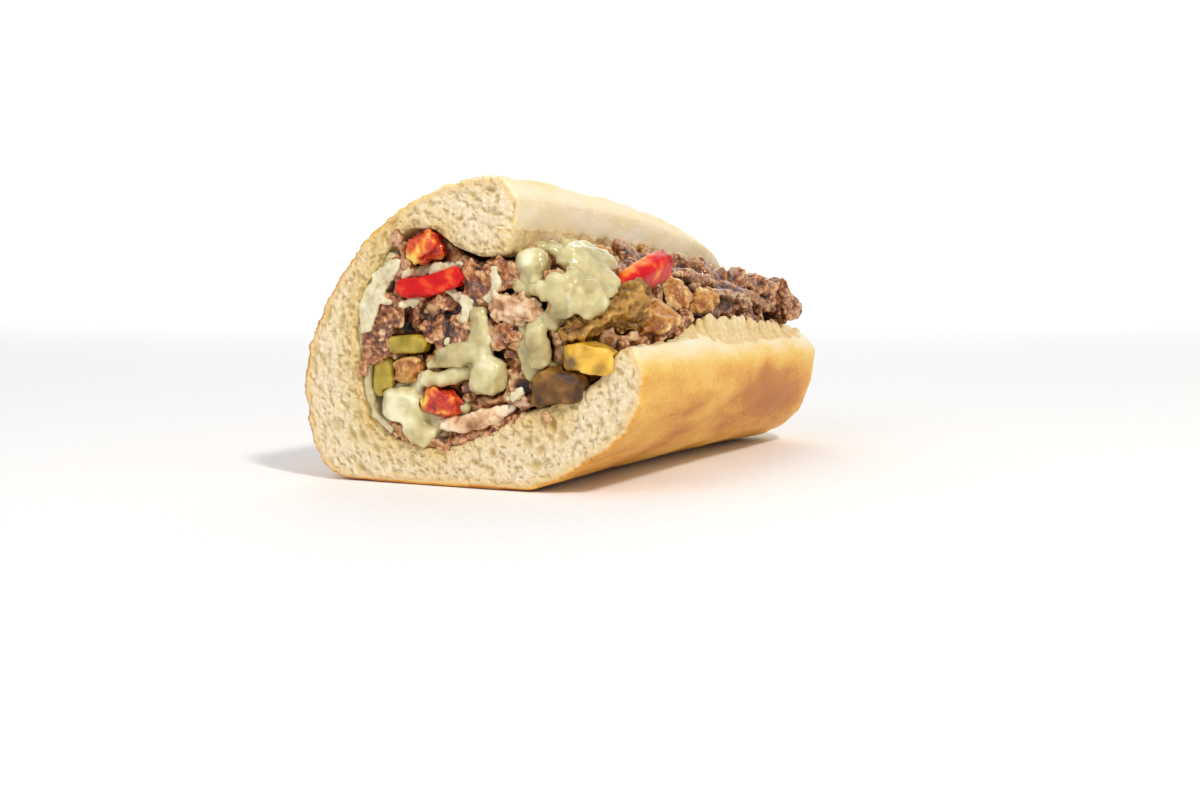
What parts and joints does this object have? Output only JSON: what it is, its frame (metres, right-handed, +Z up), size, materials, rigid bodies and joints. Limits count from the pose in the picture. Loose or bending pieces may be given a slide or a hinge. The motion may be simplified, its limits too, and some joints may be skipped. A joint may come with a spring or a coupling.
{
  "type": "submarine sandwich",
  "caption": "Cut half of a long roll, hinged at the back and open along one side, filled with chopped steak, peppers, onion and melted cheese.",
  "frame": {"origin": "centre of the bounding box in X and Y, at the flat underside", "axes": "+X along the roll from the cut face to the rounded closed end, -Y towards the open side with the filling, +Z up from the flat underside"},
  "size_m": [0.154, 0.0986, 0.0779],
  "materials": {
    "crust": "dry baked crust",
    "steak": "moist chopped meat",
    "mayonnaise": "creamy",
    "cheese": "melted and smooth",
    "red_pepper": "wet and glossy",
    "hot_pepper": "wet and glossy",
    "green_pepper": "wet and glossy",
    "cooked_pepper": "wet and glossy",
    "yellow_pepper": "wet and glossy",
    "onion": "cooked and glossy",
    "sauced": "coated with sauce"
  },
  "bodies": {
    "root": {"roll": "crust", "steak": "steak", "mayonnaise_lining": "mayonnaise", "cheese_on_corner": "cheese", "cheese_knob": "cheese", "cheese_column": "cheese", "cheese_middle": "cheese", "cheese_low": "cheese", "red_pepper_on_cut": "red_pepper", "red_pepper_in_mouth": "red_pepper", "hot_pepper_top": "hot_pepper", "relish_low": "hot_pepper", "green_pepper_bar": "green_pepper", "green_pepper_upright": "green_pepper", "cooked_pepper_low": "cooked_pepper", "cooked_pepper_long": "cooked_pepper", "yellow_pepper": "yellow_pepper", "onion_on_cut": "onion", "onion_in_mouth": "onion", "onion_on_lip": "onion", "onion_on_fold": "onion", "onion_under_flap": "onion", "sauced_chunk": "sauced", "sauced_crescent": "sauced"}
  },
  "joints": []
}
